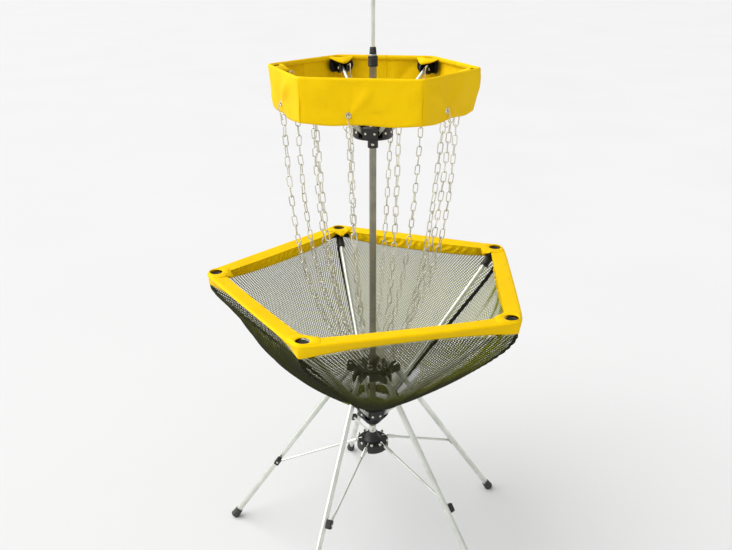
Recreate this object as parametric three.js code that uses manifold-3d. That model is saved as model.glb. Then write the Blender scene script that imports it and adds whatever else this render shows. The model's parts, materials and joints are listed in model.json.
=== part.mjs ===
// Portable disc golf basket: a six-rib top frame with a cloth band, twelve chains, a five-rib net
// basket and a five-legged stand, all on one pole that telescopes at its top.
// Millimetres, +Z up. The feet stand on z = 0. The pole is upright; the ribs, chains and legs are
// copies of one piece, drawn with +X pointing away from the pole and turned about the pole.
import * as THREE from 'three';
import { mergeVertices } from 'three/addons/utils/BufferGeometryUtils.js';
import Module from 'manifold-3d';

const wasm = await Module();
wasm.setup();

// ---- driving dimensions -------------------------------------------------------------------------
const GAP = 0.3;                      // clearance between pieces that touch
const PAST = 9;                       // how far a cutting tool runs past what it cuts

const POLE = { radius: 9, bore: 7.6, bottom: 300, top: 1387 };
const INNER_POLE = { radius: 5, bore: 3.8, bottom: 1100, top: 1570 };
const POLE_CAP = { radius: 6, crown: 4, bottom: 1556, shoulder: 1558, edge: 1567 };
const BARREL = { radius: 12, bottom: 1370, shoulder: 1389, top: 1396 };
const NUT = { foot: 8.6, crown: 7.4, bottom: 1399, top: 1416 };

const TOP = { corners: 6, turn: -5, rim: 1372.6, bottom: 1272, corner: 256, cloth: 3, hem: 42 };
const TOP_RIB = { radius: 5.5, hinge: [38, 1215], end: [222, 1342] };
const TOP_HUB = { radius: 50, neck: 13.3, neckBottom: 1172, bottom: 1198, top: 1231, floor: 1203 };
const TOP_CAP = { at: 234, radius: 14, top: 1375 };

const CHAIN = { radius: 3, sides: 8, steps: 13, hinge: [44, 566] };
const CORNER_CHAIN = { hook: [198, 1318], side: -14, sag: 42 };
const FACE_CHAIN = { side: -21, sag: 52, below: 5 };
const CHAIN_RING = { radius: 48, collar: 17, bottom: 557.5, flange: 563, top: 576 };

const BASKET = { corners: 5, rim: 820, corner: 453, hem: 38, skirt: 30, cloth: 3 };
const BASKET_RIB = { radius: 6.5, hinge: [36, 418], end: [400, 790], side: 2 };
const BASKET_HUB = { radius: 45, floorRadius: 20, bottom: 378, floor: 405, rimBottom: 408, top: 432 };
const BASKET_CAP = { at: 423.5, radius: 17, top: 823 };
const SLEEVE = { radius: 11, length: 28 };
const NET = { bottom: 432, top: 806, foot: 68, head: 444, belly: 50, slack: 24, inset: 4.8, levels: 7 };
const SLIT = { near: 60, far: 150, halfWidth: 13, top: 520 };

const LEG = { radius: 8, hinge: [62, 545.5], foot: [426.9, 11], side: -16, turn: -2 };
const LEG_HUB = { radius: 54, collar: 21, arm: 73, bottom: 534.5, top: 556.5 };
const KNEE = { at: 221, radius: 11, length: 28 };
const FOOT = { radius: 13, length: 24 };
const BRACE = { radius: 3.5, hinge: [36, 318], past: 6 };
const BRACE_HUB = { radius: 45, core: 26, neck: 14, bottom: 291, shoulder: 322, top: 345 };

const RIB_TURN = 360 / BASKET.corners;
const TOP_TURN = 360 / TOP.corners;
const FIRST = 180;                    // azimuth of the first basket corner

// ---- colours ------------------------------------------------------------------------------------
const alloy = new THREE.MeshStandardMaterial({ color: 0xb9bdb4, roughness: 0.35, metalness: 0.9 });
const poleGrey = new THREE.MeshStandardMaterial({ color: 0x8f8a80, roughness: 0.4, metalness: 0.85 });
const black = new THREE.MeshStandardMaterial({ color: 0x121212, roughness: 0.5, metalness: 0 });
const yellow = new THREE.MeshStandardMaterial({ color: 0xf2d800, roughness: 0.8, metalness: 0 });
const mesh = new THREE.MeshStandardMaterial({ color: 0x1b1d14, roughness: 0.9, metalness: 0 });
const steel = new THREE.MeshStandardMaterial({ color: 0xc8c8c8, roughness: 0.25, metalness: 1 });

// ---- small tools --------------------------------------------------------------------------------
const radians = THREE.MathUtils.degToRad;
const point = ([out, up], side = 0) => new THREE.Vector3(out, side, up);

/** A geometry as a manifold solid, with its shared vertices merged. */
function toSolid(geometry) {
  const bare = geometry.clone();
  bare.deleteAttribute('normal');
  bare.deleteAttribute('uv');
  const merged = mergeVertices(bare, 1e-4);
  const corners = Array.from(merged.index.array);
  const kept = [];
  for (let i = 0; i < corners.length; i += 3) {
    const [a, b, c] = corners.slice(i, i + 3);
    if (a !== b && b !== c && c !== a) kept.push(a, b, c);
  }
  const data = {
    numProp: 3,
    vertProperties: new Float32Array(merged.attributes.position.array),
    triVerts: new Uint32Array(kept),
  };
  return new wasm.Manifold(new wasm.Mesh(data));
}

/** A manifold solid as a geometry. */
function toGeometry(solid) {
  const { vertProperties, triVerts } = solid.getMesh();
  const geometry = new THREE.BufferGeometry();
  geometry.setAttribute('position', new THREE.BufferAttribute(vertProperties, 3));
  geometry.setIndex(new THREE.BufferAttribute(triVerts, 1));
  geometry.computeVertexNormals();
  return geometry;
}

const join = (...pieces) => toGeometry(pieces.map(toSolid).reduce((a, b) => a.add(b)));
const cut = (base, ...tools) => toGeometry(tools.map(toSolid).reduce((a, b) => a.subtract(b), toSolid(base)));
const meet = (a, b) => toGeometry(toSolid(a).intersect(toSolid(b)));

/** A round bar from one point to another. */
function bar(from, to, radius, sides = 12) {
  const along = to.clone().sub(from);
  const up = new THREE.Vector3(0, 1, 0);
  const turn = new THREE.Quaternion().setFromUnitVectors(up, along.clone().normalize());
  const middle = from.clone().add(to).multiplyScalar(0.5);
  const geometry = new THREE.CylinderGeometry(radius, radius, along.length(), sides);
  return geometry.applyQuaternion(turn).translate(middle.x, middle.y, middle.z);
}

/** A solid of revolution about the pole from a closed [radius, height] outline, run anticlockwise. */
function turned(outline, segments = 24) {
  const points = [...outline, outline[0]].map(([r, z]) => new THREE.Vector2(r, z));
  return new THREE.LatheGeometry(points, segments).rotateX(Math.PI / 2);
}

/** A box given by its span on each axis. */
function block([x0, x1], [y0, y1], [z0, z1]) {
  const box = new THREE.BoxGeometry(x1 - x0, y1 - y0, z1 - z0);
  return box.translate((x0 + x1) / 2, (y0 + y1) / 2, (z0 + z1) / 2);
}

/** A regular outline with its corners at the given radius and its first corner at an azimuth. */
function polygon(corners, radius, azimuth) {
  const points = [];
  for (let i = 0; i < corners; i++) {
    const angle = radians(azimuth + (i * 360) / corners);
    points.push(new THREE.Vector2(radius * Math.cos(angle), radius * Math.sin(angle)));
  }
  return points;
}

/** A flat ring of regular outline, from one height to another. */
function polygonRing(corners, outer, inner, azimuth, [low, high]) {
  const shape = new THREE.Shape(polygon(corners, outer, azimuth));
  shape.holes.push(new THREE.Path(polygon(corners, inner, azimuth).reverse()));
  const settings = { depth: high - low, bevelEnabled: false };
  return new THREE.ExtrudeGeometry(shape, settings).translate(0, 0, low);
}

const basket = new THREE.Group();

/** Adds one named piece, turned about the pole. */
function add(name, geometry, material, azimuth = 0) {
  const piece = new THREE.Mesh(geometry, material);
  piece.name = name;
  piece.rotation.z = radians(azimuth);
  basket.add(piece);
}

const copies = (geometry, azimuths) => azimuths.map((a) => geometry.clone().rotateZ(radians(a)));
const basketAzimuths = Array.from({ length: BASKET.corners }, (_, i) => FIRST + i * RIB_TURN);
const topAzimuths = Array.from({ length: TOP.corners }, (_, i) => FIRST + TOP.turn + i * TOP_TURN);
const legAzimuths = basketAzimuths.map((a) => a + LEG.turn);

// ---- pole ---------------------------------------------------------------------------------------
/** The outer tube, and the inner tube that slides in it, closed at its top by a cap. */
function pole() {
  const { radius, bore, bottom, top } = POLE;
  add('outer_pole', turned([[bore, bottom], [radius, bottom], [radius, top], [bore, top]], 20), poleGrey);
  const inner = INNER_POLE;
  const cap = POLE_CAP;
  const outline = [[0, cap.bottom], [inner.bore, cap.bottom], [inner.bore, inner.bottom],
    [inner.radius, inner.bottom], [inner.radius, cap.bottom], [cap.radius, cap.shoulder],
    [cap.radius, cap.edge], [cap.crown, inner.top], [0, inner.top]];
  const profile = outline.map(([r, z]) => new THREE.Vector2(r, z));
  add('inner_pole', new THREE.LatheGeometry(profile, 16).rotateX(Math.PI / 2), alloy);
}

function collar() {
  const outside = POLE.radius + GAP;
  const inside = INNER_POLE.radius + GAP;
  const { radius, bottom, shoulder, top } = BARREL;
  const barrel = [[outside, bottom], [radius - 1, bottom], [radius, bottom + 2], [radius, top - 2],
    [radius - 2, top], [inside, top], [inside, shoulder], [outside, shoulder]];
  add('collar_base', turned(barrel, 20), black);
  const nut = [[inside, NUT.bottom], [NUT.foot, NUT.bottom], [NUT.foot, NUT.bottom + 3],
    [NUT.crown, NUT.top - 1], [NUT.crown - 1, NUT.top], [inside, NUT.top]];
  add('collar_nut', turned(nut, 16), black);
}

// ---- top frame: hub, ribs, corner brackets, cloth band ------------------------------------------
function topHub() {
  const bore = POLE.radius + GAP;
  const { radius, neck, neckBottom, bottom, top, floor } = TOP_HUB;
  const body = turned([[bore, neckBottom], [neck, neckBottom], [neck, bottom], [radius - 3, bottom],
    [radius, bottom + 4], [radius, top - 3], [radius - 3, top], [bore, top]], 24);
  const half = TOP_RIB.radius + 0.7;
  const slot = block([24, radius + PAST], [-half, half], [floor, top + PAST]);
  add('upper_hub', cut(body, ...copies(slot, topAzimuths)), black);
}

/** A rib tube that runs a little past both of its hinge points. */
function ribTube({ radius, hinge, end, side = 0 }, inside, outside) {
  const from = point(hinge, side);
  const to = point(end, side);
  const step = to.clone().sub(from).normalize();
  return bar(from.clone().addScaledVector(step, -inside), to.clone().addScaledVector(step, outside), radius);
}

/** The bracket in a corner of the band: two wings behind the cloth, a fork for the rib and a cap. */
function topBracket() {
  const wing = 42;
  const thick = 8;
  const height = [1334, TOP.rim - TOP.cloth - GAP - 1];
  const apex = TOP.corner - 8;
  const back = apex - thick / Math.sin(radians(60));
  const drop = wing * Math.cos(radians(60));
  const spread = wing * Math.sin(radians(60));
  const outline = [[apex, 0], [apex - drop, spread], [back - drop, spread], [back, 0],
    [back - drop, -spread], [apex - drop, -spread]];
  const shape = new THREE.Shape(outline.map(([x, y]) => new THREE.Vector2(x, y)));
  const wings = new THREE.ExtrudeGeometry(shape, { depth: height[1] - height[0], bevelEnabled: false });
  wings.translate(0, 0, height[0]);
  const boss = block([210, apex - 4], [-12, 12], [1330, 1362]);
  const post = bar(new THREE.Vector3(TOP_CAP.at, 0, 1350), new THREE.Vector3(TOP_CAP.at, 0, TOP_CAP.top),
    TOP_CAP.radius, 16);
  const half = TOP_RIB.radius + 0.7;
  const fork = block([200, 233], [-half, half], [1320, 1356]);
  return cut(join(wings, boss, post), fork);
}

function topFrame() {
  topHub();
  const rib = ribTube(TOP_RIB, 5, 6);
  const bracket = topBracket();
  topAzimuths.forEach((azimuth, i) => {
    add(`upper_rib_${i + 1}`, rib, alloy, azimuth);
    add(`upper_corner_${i + 1}`, bracket, black, azimuth);
  });
}

/** A cloth ring: an upright skirt with a flat hem turned inwards at its top, holed for the caps. */
function clothRing(spec, skirtBottom, azimuth, cap) {
  const { corners, corner, cloth, hem, rim } = spec;
  const lean = Math.cos(Math.PI / corners);
  const skirt = polygonRing(corners, corner, corner - cloth / lean, azimuth, [skirtBottom, rim]);
  const top = polygonRing(corners, corner, corner - hem / lean, azimuth, [rim - cloth, rim]);
  const hole = bar(new THREE.Vector3(cap.at, 0, rim - 20), new THREE.Vector3(cap.at, 0, rim + 20),
    cap.radius + 1, 16);
  const turns = Array.from({ length: corners }, (_, i) => azimuth + (i * 360) / corners);
  return cut(join(skirt, top), ...copies(hole, turns));
}

// ---- chains -------------------------------------------------------------------------------------
/** A hanging strand, from its hook down and inwards to the chain ring. */
function strand([out, up], side, sag) {
  const [ringOut, ringUp] = CHAIN.hinge;
  const points = [];
  for (let i = 0; i <= CHAIN.steps; i++) {
    const t = i / CHAIN.steps;
    const belly = sag * 4 * t * (1 - t) * (0.6 + 0.8 * t);
    const x = THREE.MathUtils.lerp(out, ringOut, t) + belly;
    points.push(new THREE.Vector3(x, side * (1 - t), THREE.MathUtils.lerp(up, ringUp + 3, t)));
  }
  const path = new THREE.CatmullRomCurve3(points);
  const section = new THREE.Shape(polygon(CHAIN.sides, CHAIN.radius, 0));
  return new THREE.ExtrudeGeometry(section, { steps: CHAIN.steps, extrudePath: path, bevelEnabled: false });
}

function chains() {
  const faceHook = [TOP.corner * Math.cos(Math.PI / TOP.corners) + 1, TOP.bottom - FACE_CHAIN.below];
  const cornerChain = strand(CORNER_CHAIN.hook, CORNER_CHAIN.side, CORNER_CHAIN.sag);
  const faceChain = strand(faceHook, FACE_CHAIN.side, FACE_CHAIN.sag);
  topAzimuths.forEach((azimuth, i) => {
    add(`chain_${2 * i + 1}`, cornerChain, steel, azimuth);
    add(`chain_${2 * i + 2}`, faceChain, steel, azimuth + TOP_TURN / 2);
  });
  const bore = POLE.radius + GAP;
  const { radius, collar, bottom, flange, top } = CHAIN_RING;
  const ring = turned([[bore, bottom], [radius, bottom], [radius, flange], [collar, flange],
    [collar, top], [bore, top]]);
  add('chain_ring', ring, black);
}

// ---- basket: hub, ribs, corner sockets, rim, net ------------------------------------------------
function basketHub() {
  const bore = POLE.radius + GAP;
  const { radius, floorRadius, bottom, floor, rimBottom, top } = BASKET_HUB;
  const body = turned([[bore, bottom], [floorRadius, bottom], [radius, rimBottom], [radius, top],
    [bore, top]]);
  const half = BASKET_RIB.radius + 0.7;
  const slot = block([22, radius + PAST], [BASKET_RIB.side - half, BASKET_RIB.side + half], [floor, top + PAST]);
  add('basket_hub', cut(body, ...copies(slot, basketAzimuths)), black);
}

/** The socket on a basket rib's outer end, with the post and round cap that hold the rim's corner. */
function basketSocket() {
  const end = point(BASKET_RIB.end, BASKET_RIB.side);
  const step = end.clone().sub(point(BASKET_RIB.hinge, BASKET_RIB.side)).normalize();
  const mouth = end.clone().addScaledVector(step, 8 - SLEEVE.length);
  const crown = end.clone().addScaledVector(step, 8);
  const sleeve = bar(mouth, crown, SLEEVE.radius, 16);
  const cap = new THREE.Vector3(BASKET_CAP.at, 0, BASKET_CAP.top);
  const neck = cap.clone().setZ(BASKET.rim - BASKET.cloth - GAP - 5);
  const disc = bar(neck, cap, BASKET_CAP.radius, 20);
  const arm = bar(end, cap.clone().setZ(BASKET.rim - 8), 7, 10);
  const bore = bar(mouth.clone().addScaledVector(step, -5), end.clone().addScaledVector(step, GAP),
    BASKET_RIB.radius + GAP, 12);
  return cut(join(sleeve, disc, arm), bore);
}

/** Radius of the net's outside at a height share t, a given angle away from the nearest rib. */
function netRadius(t, away) {
  const half = RIB_TURN / 2;
  const rib = THREE.MathUtils.lerp(NET.foot, NET.head, t) + NET.slack * Math.sin(Math.PI * t);
  const flat = (rib * Math.cos(radians(half))) / Math.cos(radians(half - away));
  const belly = NET.belly * Math.sin(Math.PI * t) ** 0.8 * Math.sin((Math.PI * away) / RIB_TURN);
  return flat + belly;
}

/** The net as a thin open funnel: outer rings from bottom to top, then inner rings back down. */
function netShell() {
  const spokes = 4 * BASKET.corners;
  const outside = Array.from({ length: NET.levels }, (_, i) => i / (NET.levels - 1));
  const rings = [...outside.map((t) => [t, 0]), ...outside.reverse().map((t) => [t, NET.inset])];
  const positions = [];
  for (const [t, inset] of rings) {
    for (let k = 0; k < spokes; k++) {
      const azimuth = (k * 360) / spokes;
      const away = Math.min(azimuth % RIB_TURN, RIB_TURN - (azimuth % RIB_TURN));
      const radius = netRadius(t, away) - inset;
      const angle = radians(FIRST + azimuth);
      const height = THREE.MathUtils.lerp(NET.bottom, NET.top, t);
      positions.push(radius * Math.cos(angle), radius * Math.sin(angle), height);
    }
  }
  const faces = [];
  rings.forEach((_, row) => {
    const next = (row + 1) % rings.length;
    for (let k = 0; k < spokes; k++) {
      const l = (k + 1) % spokes;
      const [a, b, c, d] = [row * spokes + k, row * spokes + l, next * spokes + l, next * spokes + k];
      faces.push(a, b, c, a, c, d);
    }
  });
  const geometry = new THREE.BufferGeometry();
  geometry.setAttribute('position', new THREE.Float32BufferAttribute(positions, 3));
  geometry.setIndex(faces);
  return geometry;
}

/** A wedge between two ribs, drawn back from each by half the gap between two net panels. */
function wedge() {
  const reach = 2 * NET.head;
  const back = GAP / 2 / Math.sin(radians(RIB_TURN / 2));
  const tip = new THREE.Vector2(back, 0).rotateAround(new THREE.Vector2(), radians(FIRST + RIB_TURN / 2));
  const corners = [FIRST, FIRST + RIB_TURN].map((azimuth) => tip.clone().add(
    new THREE.Vector2(reach * Math.cos(radians(azimuth)), reach * Math.sin(radians(azimuth)))));
  const settings = { depth: NET.top - NET.bottom + 2 * PAST, bevelEnabled: false };
  const solid = new THREE.ExtrudeGeometry(new THREE.Shape([tip, ...corners]), settings);
  return solid.translate(0, 0, NET.bottom - PAST);
}

/** One of the net's panels, from rib to rib, with the slits beside the ribs for the legs. */
function netPanel() {
  const { near, far, halfWidth, top } = SLIT;
  const slit = block([near, far], [LEG.side - halfWidth, LEG.side + halfWidth], [NET.bottom - PAST, top]);
  return cut(meet(netShell(), wedge()), ...copies(slit, legAzimuths));
}

function basketFrame() {
  basketHub();
  const rib = ribTube(BASKET_RIB, 5, 0);
  const socket = basketSocket();
  const panel = netPanel();
  basketAzimuths.forEach((azimuth, i) => {
    add(`basket_rib_${i + 1}`, rib, alloy, azimuth);
    add(`basket_corner_${i + 1}`, socket, black, azimuth);
    add(`net_panel_${i + 1}`, panel, mesh, azimuth - FIRST);
  });
  add('basket_rim', clothRing(BASKET, BASKET.rim - BASKET.skirt, FIRST, BASKET_CAP), yellow);
}

// ---- stand: leg hub, legs, brace hub, braces ----------------------------------------------------
/** A star round the pole, slotted for the legs it carries and for the basket ribs when folded. */
function legHub() {
  const bore = POLE.radius + GAP;
  const { radius, arm, bottom, top, collar } = LEG_HUB;
  const disc = turned([[bore, bottom], [radius, bottom], [radius, top], [bore, top]]);
  const half = LEG.radius + 0.7;
  const cheek = block([20, arm], [LEG.side - half - 4, LEG.side + half + 4], [bottom, top]);
  const through = [bottom - PAST, top + PAST];
  const legSlot = block([LEG.hinge[0] - 16, arm + PAST], [LEG.side - half, LEG.side + half], through);
  const ribHalf = BASKET_RIB.radius + 1.5;
  const ribSlot = block([collar, arm + PAST], [BASKET_RIB.side - ribHalf, BASKET_RIB.side + ribHalf], through);
  const star = join(disc, ...copies(cheek, legAzimuths));
  add('leg_hub', cut(star, ...copies(legSlot, legAzimuths), ...copies(ribSlot, basketAzimuths)), black);
}

/** The point on a leg's centre line at a height. */
function onLeg(height) {
  const hinge = point(LEG.hinge, LEG.side);
  const foot = point(LEG.foot, LEG.side);
  return hinge.lerp(foot, (hinge.z - height) / (hinge.z - foot.z));
}

/** A leg tube with its knee clamp and its rubber foot, which is flat where it meets the ground. */
function leg() {
  const hinge = point(LEG.hinge, LEG.side);
  const foot = point(LEG.foot, LEG.side);
  const step = foot.clone().sub(hinge).normalize();
  const tube = bar(hinge.clone().addScaledVector(step, -7), foot, LEG.radius);
  const knee = onLeg(KNEE.at);
  const clamp = bar(knee.clone().addScaledVector(step, -KNEE.length / 2),
    knee.clone().addScaledVector(step, KNEE.length / 2), KNEE.radius, 16);
  const boot = bar(foot.clone().addScaledVector(step, -FOOT.length), foot, FOOT.radius - 1.5, 16);
  const toe = new THREE.SphereGeometry(FOOT.radius, 16, 8).rotateX(Math.PI / 2).translate(foot.x, foot.y, foot.z);
  const ground = block([foot.x - 40, foot.x + 40], [foot.y - 40, foot.y + 40], [-40, 0]);
  return cut(join(tube, clamp, boot, toe), ground);
}

/** The bottom hub: a flat disc cut into lobes by the braces' slots, and a neck that tapers up the pole. */
function braceHub() {
  const bore = POLE.radius + GAP;
  const { radius, core, neck, bottom, shoulder, top } = BRACE_HUB;
  const body = turned([[bore, bottom], [radius - 8, bottom], [radius, bottom + 7], [radius, shoulder - 4],
    [radius - 4, shoulder], [core, shoulder], [neck + 2, top - 10], [neck, top], [bore, top]]);
  const half = BRACE.radius + 0.7;
  const slot = block([core, radius + PAST], [-half, half], [bottom - PAST, shoulder + PAST]);
  add('brace_hub', cut(body, ...copies(slot, legAzimuths)), black);
}

/** A thin brace from the bottom hub to a little past the knee's height, beside the leg's clamp. */
function brace() {
  const hinge = point(BRACE.hinge);
  const knee = onLeg(KNEE.at).setY(0);
  const step = knee.clone().sub(hinge).normalize();
  return bar(hinge.addScaledVector(step, -BRACE.past), knee.addScaledVector(step, BRACE.past), BRACE.radius, 10);
}

function stand() {
  legHub();
  braceHub();
  const legPiece = leg();
  const bracePiece = brace();
  legAzimuths.forEach((azimuth, i) => {
    add(`leg_${i + 1}`, legPiece, alloy, azimuth);
    add(`brace_${i + 1}`, bracePiece, alloy, azimuth);
  });
}

pole();
collar();
topFrame();
const firstTop = FIRST + TOP.turn;
add('top_band', clothRing(TOP, TOP.bottom, firstTop, TOP_CAP), yellow);
chains();
basketFrame();
stand();

// The origin is on the ground, under the middle of the outline's box.
basket.updateMatrixWorld(true);
const outline = new THREE.Box3().setFromObject(basket, true);
const middle = outline.getCenter(new THREE.Vector3());
basket.position.set(-middle.x, -middle.y, -outline.min.z);

export default basket;
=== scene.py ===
import cmath
import json
import math
import random

import bmesh
import bpy
import numpy as np
from mathutils import Matrix, Vector, noise


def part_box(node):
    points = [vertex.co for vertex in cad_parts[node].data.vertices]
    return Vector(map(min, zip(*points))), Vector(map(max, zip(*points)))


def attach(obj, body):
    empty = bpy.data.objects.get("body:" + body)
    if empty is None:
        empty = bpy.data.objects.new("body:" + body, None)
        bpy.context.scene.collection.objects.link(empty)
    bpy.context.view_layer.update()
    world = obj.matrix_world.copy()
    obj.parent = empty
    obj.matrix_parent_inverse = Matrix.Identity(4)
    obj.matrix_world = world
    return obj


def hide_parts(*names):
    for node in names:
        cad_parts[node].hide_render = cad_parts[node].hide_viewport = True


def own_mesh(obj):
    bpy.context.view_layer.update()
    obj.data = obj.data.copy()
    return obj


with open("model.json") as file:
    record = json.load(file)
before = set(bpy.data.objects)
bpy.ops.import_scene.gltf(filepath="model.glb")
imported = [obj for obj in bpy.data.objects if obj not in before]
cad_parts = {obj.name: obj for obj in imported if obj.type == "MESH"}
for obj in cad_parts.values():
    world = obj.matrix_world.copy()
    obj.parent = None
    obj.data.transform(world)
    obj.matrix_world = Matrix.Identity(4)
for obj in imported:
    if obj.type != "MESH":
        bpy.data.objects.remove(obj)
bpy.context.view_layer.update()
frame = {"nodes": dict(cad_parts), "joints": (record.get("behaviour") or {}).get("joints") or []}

joints = {j["name"]: j for j in frame["joints"]}

# ---- places and sizes, from the frame ------------------------------------------------------------
TOP_COUNT, RIB_COUNT = 6, 5
TOP_HALF, RIB_HALF = math.pi / TOP_COUNT, math.pi / RIB_COUNT
RIB_AZIMUTHS = [180 + 72 * i for i in range(RIB_COUNT)]
TOP_AZIMUTHS = [175 + 60 * i for i in range(TOP_COUNT)]
LEG_AZIMUTHS = [a - 2 for a in RIB_AZIMUTHS]

pole_low, pole_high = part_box("outer_pole")
AXIS = Vector(((pole_low.x + pole_high.x) / 2, (pole_low.y + pole_high.y) / 2, 0))
POLE_R = (pole_high.x - pole_low.x) / 2
band_low, band_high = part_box("top_band")
rim_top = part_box("basket_rim")[1].z + 0.006
RIM_CAP_AT, RIM_CAP_R = 0.4235, 0.017
FACE_SIDE = -0.021         # how far a face's eyelet stands to the side of its middle
TOP_TURN = 360 / TOP_COUNT
ON_AXIS = Matrix.Translation(AXIS)


def arm(azimuth):
    """From an arm's own frame to the object's."""
    return ON_AXIS @ Matrix.Rotation(math.radians(azimuth), 4, "Z")


def outward(azimuth, reach=1.0, height=0.0):
    """A place at a reach from the pole's axis, in the direction of an azimuth."""
    angle = math.radians(azimuth)
    return Vector((math.cos(angle), math.sin(angle), 0)) * reach + Vector((0, 0, height))


def hinge(name, azimuth):
    """A joint's place in an arm's own frame."""
    return arm(azimuth).inverted() @ Vector(joints[name]["pos_m"])


# ---- camera, light and floor ---------------------------------------------------------------------
EYE = {"azimuth": 273.5, "distance": 1.9932, "height": 1.615, "pitch": 21.54, "yaw": -0.52, "roll": -0.15}
EYE_LENS = 39.58


def make_camera():
    yaw, pitch, roll = (math.radians(EYE[k]) for k in ("yaw", "pitch", "roll"))
    forward = Vector((math.sin(yaw), math.cos(yaw), 0))
    right = Vector((math.cos(yaw), -math.sin(yaw), 0))
    ahead = forward * math.cos(pitch) - Vector((0, 0, math.sin(pitch)))
    up = forward * math.sin(pitch) + Vector((0, 0, math.cos(pitch)))
    tilted_right = right * math.cos(roll) + up * math.sin(roll)
    tilted_up = up * math.cos(roll) - right * math.sin(roll)
    turn = Matrix.Rotation(math.radians(EYE["azimuth"] - 270), 3, "Z")
    axes = Matrix([turn @ tilted_right, turn @ tilted_up, turn @ -ahead]).transposed()
    place = turn @ Vector((0, -EYE["distance"], EYE["height"])) + AXIS
    data = bpy.data.cameras.new("camera")
    data.lens = EYE_LENS
    data.sensor_width = 36
    data.clip_end = 300
    camera = bpy.data.objects.new("camera", data)
    camera.matrix_world = Matrix.Translation(place) @ axes.to_4x4()
    bpy.context.scene.collection.objects.link(camera)
    bpy.context.scene.camera = camera


def make_sun(name, azimuth, height, strength, softness):
    """A broad lamp in the direction given by an azimuth and a height above the horizon."""
    data = bpy.data.lights.new(name, "SUN")
    data.energy = strength
    data.angle = math.radians(softness)
    lamp = bpy.data.objects.new(name, data)
    a, h = math.radians(azimuth), math.radians(height)
    towards = Vector((math.cos(a) * math.cos(h), math.sin(a) * math.cos(h), math.sin(h)))
    lamp.rotation_mode = "QUATERNION"
    lamp.rotation_quaternion = towards.to_track_quat("Z", "Y")
    bpy.context.scene.collection.objects.link(lamp)


def make_studio():
    world = bpy.data.worlds.new("studio")
    bpy.context.scene.world = world
    world.use_nodes = True
    background = world.node_tree.nodes["Background"]
    background.inputs["Color"].default_value = (1, 1, 1, 1)
    background.inputs["Strength"].default_value = 0.47
    make_sun("key", 184, 46, 3.4, 80)
    make_sun("fill", 300, 40, 0.35, 90)
    bpy.context.scene.view_settings.view_transform = "Standard"
    floor = build("floor", *grid_plane(80), make_floor_material(), None)


def grid_plane(size):
    corners = [(-size, -size, 0), (size, -size, 0), (size, size, 0), (-size, size, 0)]
    return corners, [(0, 1, 2, 3)]


# ---- mesh tools ----------------------------------------------------------------------------------
def build(name, points, faces, material, body, matrix=None, slot=None, lay=None, crease=40):
    """An object from points and faces, in an arm's frame if a matrix is given, riding on a body."""
    mesh = bpy.data.meshes.new(name)
    mesh.from_pydata([tuple(p) for p in points], [], [tuple(int(k) for k in f) for f in faces])
    if lay is not None:
        attribute = mesh.attributes.new("lay", "FLOAT_VECTOR", "POINT")
        attribute.data.foreach_set("vector", np.asarray(lay, np.float32).ravel())
    if matrix is not None:
        mesh.transform(matrix)
    mesh.shade_smooth()
    if crease:
        mesh.set_sharp_from_angle(angle=math.radians(crease))
    mesh.materials.append(material)
    piece = bpy.data.objects.new(name, mesh)
    bpy.context.scene.collection.objects.link(piece)
    if body:
        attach(piece, body)
    return piece


def merged(parts):
    """Several (points, faces, lay) as one."""
    points, faces, lay = [], [], []
    for part in parts:
        start = len(points)
        points.extend(tuple(p) for p in part[0])
        faces.extend(tuple(k + start for k in f) for f in part[1])
        lay.extend(tuple(x) for x in (part[2] if len(part) > 2 else part[0]))
    return points, faces, lay


def moved(part, matrix):
    points, faces, *rest = part
    return ([matrix @ Vector(p) for p in points], faces, *rest)


def ring_faces(rows, sides, closed=False):
    """Faces between neighbouring rings of points, and from the last ring to the first if closed."""
    faces = []
    for i in range(rows if closed else rows - 1):
        a, b = i * sides, ((i + 1) % rows) * sides
        faces += [(a + k, a + (k + 1) % sides, b + (k + 1) % sides, b + k) for k in range(sides)]
    return faces


def swept(path, radius, sides=12, loop=False):
    """A round bar along a path of points, with one radius or one for each point."""
    path = [Vector(p) for p in path]
    count = len(path)
    radii = [radius] * count if isinstance(radius, (int, float)) else list(radius)
    points, lay = [], []
    normal, length = None, 0.0
    for i, centre in enumerate(path):
        ahead = path[(i + 1) % count] if (loop or i + 1 < count) else centre
        behind = path[i - 1] if (loop or i > 0) else centre
        tangent = (ahead - behind).normalized()
        if normal is None:
            normal = tangent.orthogonal().normalized()
        normal = (normal - tangent * normal.dot(tangent)).normalized()
        side = tangent.cross(normal)
        for k in range(sides):
            angle = 2 * math.pi * k / sides
            points.append(centre + radii[i] * (math.cos(angle) * normal + math.sin(angle) * side))
            lay.append((radii[i] * angle, length, 0))
        length += (ahead - centre).length
    faces = ring_faces(count, sides, loop)
    if not loop:
        faces.append(tuple(reversed(range(sides))))
        faces.append(tuple(range(len(points) - sides, len(points))))
    return points, faces, lay


def turned(profile, segments=48, centre=Vector((0, 0, 0))):
    """A solid of revolution about +Z from a [radius, height] line that starts and ends on the axis,
    or that closes on itself."""
    closed = profile[0][0] > 1e-9
    points, lay = [], []
    length = 0.0
    for i, (r, z) in enumerate(profile):
        if i:
            length += math.dist(profile[i - 1], (r, z))
        for k in range(segments):
            angle = 2 * math.pi * k / segments
            points.append(centre + Vector((r * math.cos(angle), r * math.sin(angle), z)))
            lay.append((r * angle, length, 0))
    return points, ring_faces(len(profile), segments, closed), lay


def sleeve_along(start, step, profile, sides=32):
    """A round sleeve along a direction, from a line of distances and radii."""
    return swept([start + step * s for s, _ in profile], [r for _, r in profile], sides)


def lathe(name, profile, segments, material, body, slot):
    """A turned piece on the pole's axis."""
    return build(name, *turned(profile, segments)[:2], material, body, ON_AXIS, slot)


def mould(name, part, body, azimuth, crease):
    """A black plastic piece on an arm."""
    return build(name, *part[:2], black, body, arm(azimuth), "black_plastic", crease=crease)


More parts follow.
